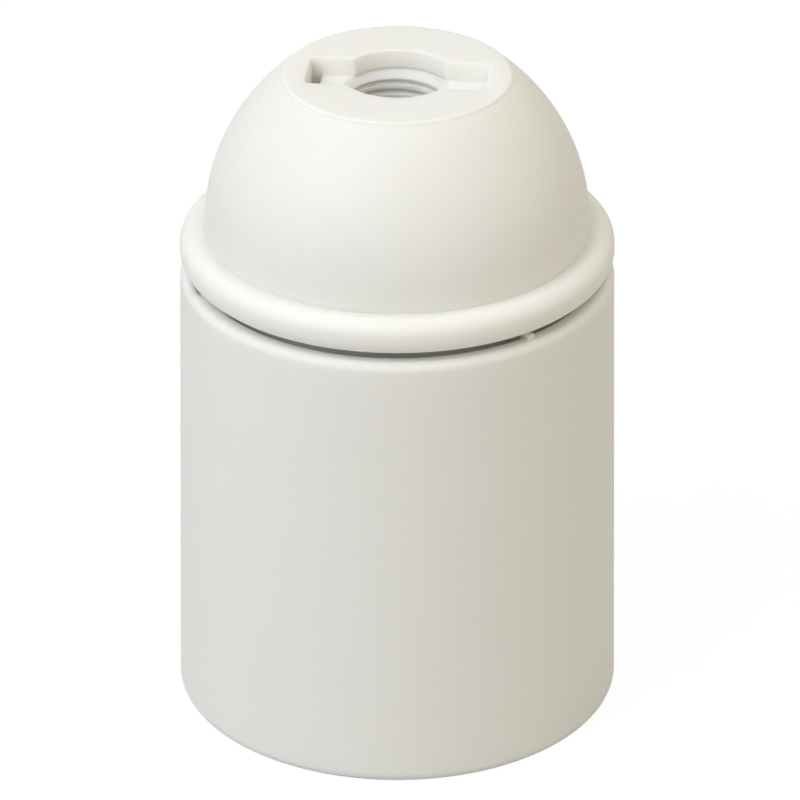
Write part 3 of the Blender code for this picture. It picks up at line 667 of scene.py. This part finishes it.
def terminal_screw(name, node, side):
    """A slotted cheese-head screw with a short point."""
    low, high = extent(node)
    head_foot = high.z - SCREW_HEAD
    point = low.z + SCREW_POINT
    thread = screw_thread(SCREW_RADIUS, SCREW_PITCH, SCREW_THREAD_DEPTH, point, head_foot - SCREW_NECK)
    rings = [(0, low.z), (SCREW_RADIUS - SCREW_TIP_STEP, low.z), (SCREW_RADIUS - SCREW_TIP_EASE, point)]
    heights = evenly(point + RING_CLEAR, head_foot - RING_CLEAR, SCREW_PITCH / RINGS_A_TURN)
    rings += [(thread, z) for z in heights]
    rings += [(SCREW_RADIUS, head_foot)]
    rings += rounded([
        (SCREW_RADIUS + SCREW_NECK_STEP, head_foot, 0),
        (SCREW_HEAD_RADIUS, head_foot, SCREW_UNDER_ROUND),
        (SCREW_HEAD_RADIUS, high.z, SCREW_HEAD_ROUND),
        (0, high.z, 0),
    ])
    screw = turned(name, rings, SMALL_SEGMENTS)
    reach = SCREW_HEAD_RADIUS + CUT_PAST
    half = SCREW_SLOT / 2
    slot = block("driver_slot", (-reach, -half, high.z - SCREW_HEAD / 2), (reach, half, high.z + CUT_PAST))
    combine(screw, "DIFFERENCE", [moved(slot, about_z(SCREW_SLOT_TURN * side))])
    return moved(screw, Matrix.Translation((side * TERMINAL_CENTRE, 0, 0)))


def lock_screw():
    """A slotted headless screw, made about Z and laid along X in the boss."""
    low, high = extent("nipple_lock_screw")
    thread = screw_thread(LOCK_RADIUS, LOCK_PITCH, LOCK_THREAD_DEPTH, low.x + LOCK_THREAD_START, high.x)
    point = [
        (0, low.x),
        (LOCK_POINT_RADIUS, low.x),
        (LOCK_RADIUS - SCREW_TIP_STEP, low.x + LOCK_POINT_LENGTH),
    ]
    heights = evenly(low.x + LOCK_RINGS_START, high.x - LOCK_RINGS_END, LOCK_PITCH / RINGS_A_TURN)
    end = [
        (LOCK_RADIUS - LOCK_THREAD_DEPTH, high.x - LOCK_END_EASE),
        (LOCK_END_RADIUS, high.x),
        (0, high.x),
    ]
    screw = turned("lock_screw_turned", point + [(thread, z) for z in heights] + end, SMALL_SEGMENTS)
    half = LOCK_SLOT / 2
    reach = LOCK_RADIUS + CUT_PAST
    slot = block("driver_slot", (-half, -reach, high.x - LOCK_SLOT_DEPTH), (half, reach, high.x + CUT_PAST))
    return laid_along_x(combine(screw, "DIFFERENCE", [slot]), LOCK_HEIGHT)


def rivet(name, node):
    """A tubular rivet with a rolled head at each end."""
    low, high = extent(node)
    middle = (low + high) / 2
    rings = rounded([
        (RIVET_BORE, middle.z, 0),
        (RIVET_BORE, low.z, RIVET_MOUTH_ROUND),
        (RIVET_HEAD_RADIUS, low.z, RIVET_ROLL),
        (RIVET_HEAD_RADIUS, low.z + RIVET_HEAD, RIVET_HEAD_EDGE),
        (RIVET_RADIUS, low.z + RIVET_HEAD, 0),
        (RIVET_RADIUS, high.z - RIVET_HEAD, 0),
        (RIVET_HEAD_RADIUS, high.z - RIVET_HEAD, RIVET_HEAD_EDGE),
        (RIVET_HEAD_RADIUS, high.z, RIVET_ROLL),
        (RIVET_BORE, high.z, RIVET_MOUTH_ROUND),
        (RIVET_BORE, middle.z + HAIR / 2, 0),
    ])
    return moved(turned(name, rings, RIVET_SEGMENTS), Matrix.Translation((0, middle.y, 0)))


def centre_contact():
    """The spring leaf as smooth curves: flat at the rivet, down, and up again at its tip."""
    low, high = extent("centre_contact")
    level = high.z - LEAF_SHEET / 2
    drop = level - low.z - LEAF_SHEET / 2
    reach = high.y - LEAF_TIP_GAP
    points = []
    for step in range(LEAF_STEPS + 1):
        y = low.y + HAIR + (reach - low.y) * step / LEAF_STEPS
        fall = soft_step((y + CONTACT_RIVET - LEAF_FLAT) / (CONTACT_RIVET - LEAF_FLAT))
        rise = max(0.0, y / reach) ** LEAF_LIFT_POWER * LEAF_LIFT
        points.append(Vector((y, level - drop * (fall - rise))))
    above, below = [], []
    for step, point in enumerate(points):
        along = points[min(step + 1, LEAF_STEPS)] - points[max(step - 1, 0)]
        along = along.normalized() * LEAF_SHEET / 2
        above.append((point.x - along.y, point.y + along.x))
        below.append((point.x + along.y, point.y - along.x))
    leaf = extruded("contact_leaf", above[::-1] + below, -LEAF_HALF_WIDTH, LEAF_HALF_WIDTH)
    return combine(leaf, "DIFFERENCE", [rivet_hole(-CONTACT_RIVET, level)])


def eased(name, node, width):
    """A copy of a CAD node in millimetres, with its sharp edges eased by this width."""
    bm = bmesh.new()
    bm.from_mesh(frame["nodes"][node].data)
    bmesh.ops.transform(bm, matrix=Matrix.Scale(1 / MM, 4), verts=bm.verts)
    bmesh.ops.remove_doubles(bm, verts=bm.verts, dist=WELD_GAP)
    bmesh.ops.dissolve_limit(bm, angle_limit=FLAT_EDGE, verts=bm.verts, edges=bm.edges)
    sharp = [e for e in bm.edges if len(e.link_faces) == 2 and e.calc_face_angle() > EASED_EDGE]
    bmesh.ops.bevel(
        bm, geom=sharp, offset=width, segments=2, profile=0.6, affect="EDGES", clamp_overlap=True
    )
    return from_mesh(name, bm)


# Finishes


class Value:
    """An output socket of some nodes. Arithmetic on it adds Math nodes."""

    def __init__(self, nodes, socket):
        self.nodes = nodes
        self.socket = socket

    def math(self, operation, first, second):
        return self.nodes.node("ShaderNodeMath", {"operation": operation}, {0: first, 1: second})

    def __add__(self, other):
        return self.math("ADD", self, other)

    def __radd__(self, other):
        return self.math("ADD", other, self)

    def __mul__(self, other):
        return self.math("MULTIPLY", self, other)

    def __rmul__(self, other):
        return self.math("MULTIPLY", other, self)

    def or_larger(self, other):
        return self.math("MAXIMUM", self, other)

    def beside(self, output):
        """Another output of the same node."""
        return Value(self.nodes, self.socket.node.outputs[output])


class Nodes:
    """The nodes of one material, or of the world."""

    def __init__(self, tree):
        self.tree = tree

    def feed(self, socket, value):
        """Links a value to a socket, or sets the socket to a plain one."""
        if isinstance(value, Value):
            self.tree.links.new(value.socket, socket)
        else:
            socket.default_value = value

    def node(self, kind, settings=None, values=None, output=0):
        """Adds a node: its settings first, then the values or links of its sockets."""
        made = self.tree.nodes.new(kind)
        for name, value in (settings or {}).items():
            setattr(made, name, value)
        for name, value in (values or {}).items():
            self.feed(made.inputs[name], value)
        return Value(self, made.outputs[output])

    def show(self, output, value):
        """Makes this shader what the named output node shows."""
        self.feed(self.tree.nodes[output].inputs["Surface"], value)

    def white_to_the_camera(self, lit, white, share):
        """Mixes in the white where the camera sees the surface, also mirrored or through glass."""
        direct = self.node("ShaderNodeLightPath", output="Is Camera Ray")
        seen = direct.or_larger(direct.beside("Is Glossy Ray"))
        seen = seen.or_larger(direct.beside("Is Transmission Ray"))
        return self.node("ShaderNodeMixShader", {}, {0: seen * share, 1: lit, 2: white})


class Finish(Nodes):
    """One material, with the nodes that feed its shader."""

    def __init__(self, name, colour, roughness, metallic=0.0):
        self.material = bpy.data.materials.new(name)
        self.material.use_nodes = True
        super().__init__(self.material.node_tree)
        self.shader = self.tree.nodes["Principled BSDF"]
        self.give("Base Color", (*colour, 1.0))
        self.give("Roughness", roughness)
        self.give("Metallic", metallic)

    def give(self, socket, value):
        self.feed(self.shader.inputs[socket], value)

    def place(self, stretch=(1.0, 1.0, 1.0)):
        """Where a point lies on the piece, in metres, stretched along each axis."""
        spot = self.node("ShaderNodeTexCoord", output="Object")
        return self.node("ShaderNodeVectorMath", {"operation": "MULTIPLY"}, {0: spot, 1: stretch})

    def noise(self, size, detail=2.0, stretch=(1.0, 1.0, 1.0)):
        """Cloudy noise from 0 to 1, with spots of about this size in millimetres."""
        values = {"Vector": self.place(stretch), "Scale": 1 / (size * MM), "Detail": detail}
        return self.node("ShaderNodeTexNoise", {"noise_dimensions": "3D"}, values, "Fac")

    def mixed(self, share, first, second):
        """A colour between two, by share."""
        values = {"Factor": share, 6: (*first, 1.0), 7: (*second, 1.0)}
        return self.node("ShaderNodeMix", {"data_type": "RGBA"}, values, 2)

    def relief(self, height, depth, strength):
        """Lifts the surface by height, with depth in millimetres."""
        values = {"Height": height, "Distance": depth * MM, "Strength": strength}
        self.give("Normal", self.node("ShaderNodeBump", {}, values, "Normal"))


PLASTIC_LIGHT = (0.86, 0.85, 0.82)
PLASTIC_SHADE = (0.84, 0.828, 0.795)
PLASTIC_GLOSS = 0.35
PLASTIC_DEPTH = 1.6


def moulded_plastic(name, roughness):
    """White thermoplastic: light goes a little way in, with a faint cloudiness, a fine moulded grain and an
    even satin gloss."""
    made = Finish(name, PLASTIC_LIGHT, roughness)
    made.give("Specular IOR Level", PLASTIC_GLOSS)
    made.give("Subsurface Weight", 1.0)
    made.give("Subsurface Scale", PLASTIC_DEPTH * MM)
    made.give("Subsurface Radius", (1.0, 0.9, 0.75))
    cloud = made.noise(size=9.0, detail=3.0)
    grain = made.noise(size=0.22)
    swell = made.noise(size=2.4, detail=1.0)
    made.give("Base Color", made.mixed(cloud, PLASTIC_LIGHT, PLASTIC_SHADE))
    made.give("Roughness", roughness - 0.05 + 0.07 * cloud + 0.03 * grain)
    made.relief(grain * 0.7 + swell * 0.6, depth=0.012, strength=0.5)
    return made.material


def fired_steatite():
    """Unglazed technical ceramic, with fine specks."""
    made = Finish("steatite_fired", (0.80, 0.76, 0.69), 0.5)
    speck = made.noise(size=0.35, detail=4.0)
    made.give("Base Color", made.mixed(speck, (0.85, 0.82, 0.76), (0.74, 0.69, 0.61)))
    made.give("Roughness", 0.42 + 0.2 * speck)
    made.relief(speck, depth=0.03, strength=0.6)
    return made.material


def plated_sheet():
    """Nickel on drawn sheet: fine lines round the shell and soft blooms in the plating."""
    made = Finish("nickel_plate", (0.66, 0.63, 0.58), 0.25, 1.0)
    lines = made.noise(size=1.2, detail=3.0, stretch=(1.0, 1.0, 14.0))
    bloom = made.noise(size=5.0)
    made.give("Base Color", made.mixed(bloom, (0.72, 0.69, 0.64), (0.58, 0.55, 0.50)))
    made.give("Roughness", 0.18 + 0.14 * lines + 0.06 * bloom)
    made.relief(lines, depth=0.01, strength=0.4)
    return made.material


def rolled_metal(name, bright, dull, roughness, lines_along):
    """Stamped or rolled metal: fine lines, and patches where the surface has dulled."""
    made = Finish(name, bright, roughness, 1.0)
    patch = made.noise(size=2.5, detail=3.0)
    lines = made.noise(size=0.9, detail=3.0, stretch=lines_along)
    made.give("Base Color", made.mixed(patch, bright, dull))
    made.give("Roughness", roughness + 0.16 * patch + 0.08 * lines)
    made.relief(lines, depth=0.008, strength=0.4)
    return made.material


bronze = rolled_metal("rolled_bronze", (0.78, 0.56, 0.32), (0.62, 0.42, 0.24), 0.24, (12.0, 1.0, 1.0))
brass = rolled_metal("stamped_brass", (0.80, 0.62, 0.30), (0.66, 0.49, 0.24), 0.26, (1.0, 10.0, 1.0))
zinc = rolled_metal("zinc_plate", (0.68, 0.70, 0.73), (0.55, 0.56, 0.58), 0.24, (1.0, 1.0, 8.0))
looks = {
    "white_plastic": moulded_plastic("cap_plastic", 0.5),
    "white_skirt_plastic": moulded_plastic("skirt_plastic", 0.55),
    "steatite": fired_steatite(),
    "nickel_plated_sheet": plated_sheet(),
    "spring_bronze": bronze,
    "brass": brass,
    "zinc_plated_steel": zinc,
}

# Pieces, each in place of its CAD node

CERAMIC_EASE = 0.18
TERMINAL_EASE = 0.15
CLAMP_EASE = 0.1
STRIP_EASE = 0.08

body_of_node = {}
for body, nodes in frame["record"]["behaviour"]["bodies"].items():
    for node in nodes:
        body_of_node[node] = body
slot_of_node = {part["node"]: part["material_slot"] for part in frame["record"]["subparts"]}


def dress(piece, node):
    """Scales a piece to metres, finishes it as its CAD node, and lets it ride and stand for that node."""
    piece.data.transform(Matrix.Scale(MM, 4))
    piece.data.materials.clear()
    piece.data.materials.append(looks[slot_of_node[node]])
    piece.data.shade_smooth()
    piece.data.set_sharp_from_angle(angle=SHARP_EDGE)
    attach(piece, body_of_node[node])
    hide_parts(node)


dress(dome_cap(), "dome_cap")
dress(outer_skirt(), "outer_skirt")
dress(screw_shell(), "screw_shell")
dress(lock_screw(), "nipple_lock_screw")
dress(centre_contact(), "centre_contact")
dress(eased("carrier_ceramic", "contact_carrier", CERAMIC_EASE), "contact_carrier")
for rivet_node in ("contact_rivet", "shell_rivet", "neutral_rivet"):
    dress(rivet(f"{rivet_node}_rolled", rivet_node), rivet_node)
for wire, side in (("live", -1), ("neutral", 1)):
    screw_node = f"{wire}_terminal_screw"
    dress(terminal_screw(f"{screw_node}_turned", screw_node, side), screw_node)
    dress(eased(f"{wire}_strip_stamped", f"{wire}_strip", STRIP_EASE), f"{wire}_strip")
    dress(eased(f"{wire}_terminal_milled", f"{wire}_terminal", TERMINAL_EASE), f"{wire}_terminal")
    dress(eased(f"{wire}_clamp_pressed", f"{wire}_wire_clamp", CLAMP_EASE), f"{wire}_wire_clamp")


# Camera

CAMERA_DISTANCE = 600.0
CAMERA_ELEVATION = radians(28.04)
CAMERA_LENS = 273.4
CAMERA_SENSOR = 36.0
AXIS_POINT = Vector((0.0, 0.0, 31.3))
AIM_RIGHT = 0.267
AIM_DOWN = 0.301


def look_from_the_front():
    """The photograph's view: from the front and above, through a long lens."""
    data = bpy.data.cameras.new("camera")
    data.lens = CAMERA_LENS
    data.sensor_width = CAMERA_SENSOR
    camera = bpy.data.objects.new("camera", data)
    bpy.context.scene.collection.objects.link(camera)
    back = Vector((0.0, -cos(CAMERA_ELEVATION), sin(CAMERA_ELEVATION)))
    up = Vector((0.0, sin(CAMERA_ELEVATION), cos(CAMERA_ELEVATION)))
    aim = AXIS_POINT + Vector((AIM_RIGHT, 0.0, 0.0)) - up * AIM_DOWN
    camera.location = (aim + back * CAMERA_DISTANCE) * MM
    camera.rotation_euler = back.to_track_quat("Z", "Y").to_euler()
    bpy.context.scene.camera = camera


# Studio

WHITE = (1.0, 1.0, 1.0, 1.0)
FLOOR_SIZE = 3.0
FLOOR_COLOUR = (0.62, 0.62, 0.62)
FLOOR_WHITE = 1.06
FLOOR_WHITE_SHARE = 0.9
SKY_COLOUR = (1.0, 0.93, 0.76)
SKY_STRENGTH = 0.45


def softbox(name, place, size, level, colour):
    """A square soft lamp, aimed at the holder. Level is how brightly it lights a surface that faces it."""
    place = Vector(place)
    data = bpy.data.lights.new(name, "AREA")
    data.size = size
    data.color = colour
    data.energy = level * pi * pi * place.length_squared
    lamp = bpy.data.objects.new(name, data)
    lamp.location = place + AXIS_POINT * MM
    lamp.rotation_euler = place.to_track_quat("Z", "Y").to_euler()
    bpy.context.scene.collection.objects.link(lamp)


def lay_floor():
    """A plain floor under the rim, which looks white and keeps a soft shadow."""
    bm = bmesh.new()
    bmesh.ops.create_grid(bm, x_segments=1, y_segments=1, size=FLOOR_SIZE)
    floor = from_mesh("floor", bm)
    look = Finish("floor_white", FLOOR_COLOUR, 1.0)
    look.give("Specular IOR Level", 0.0)
    lit = Value(look, look.shader.outputs[0])
    white = look.node("ShaderNodeEmission", {}, {"Color": WHITE, "Strength": FLOOR_WHITE})
    look.show("Material Output", look.white_to_the_camera(lit, white, FLOOR_WHITE_SHARE))
    floor.data.materials.append(look.material)


def light_the_room():
    """A cool key from the left, a broad lamp overhead, a faint warm fill from the right, and a warm sky."""
    softbox("key_lamp", place=(-0.54, -0.39, 0.603), size=0.6, level=0.485, colour=(0.91, 1.0, 1.13))
    softbox("top_lamp", place=(0.0, -0.2, 0.9), size=1.2, level=0.38, colour=(0.96, 1.0, 1.04))
    softbox("warm_fill", place=(0.65, -0.32, 0.3), size=0.6, level=0.115, colour=(1.0, 0.88, 0.62))
    world = bpy.data.worlds.new("studio")
    world.use_nodes = True
    bpy.context.scene.world = world
    room = Nodes(world.node_tree)
    sky = room.tree.nodes["Background"]
    room.feed(sky.inputs["Color"], (*SKY_COLOUR, 1.0))
    room.feed(sky.inputs["Strength"], SKY_STRENGTH)
    white = room.node("ShaderNodeBackground", {}, {"Color": WHITE})
    room.show("World Output", room.white_to_the_camera(Value(room, sky.outputs[0]), white, 1.0))


look_from_the_front()
lay_floor()
light_the_room()
bpy.context.scene.view_settings.view_transform = "Standard"
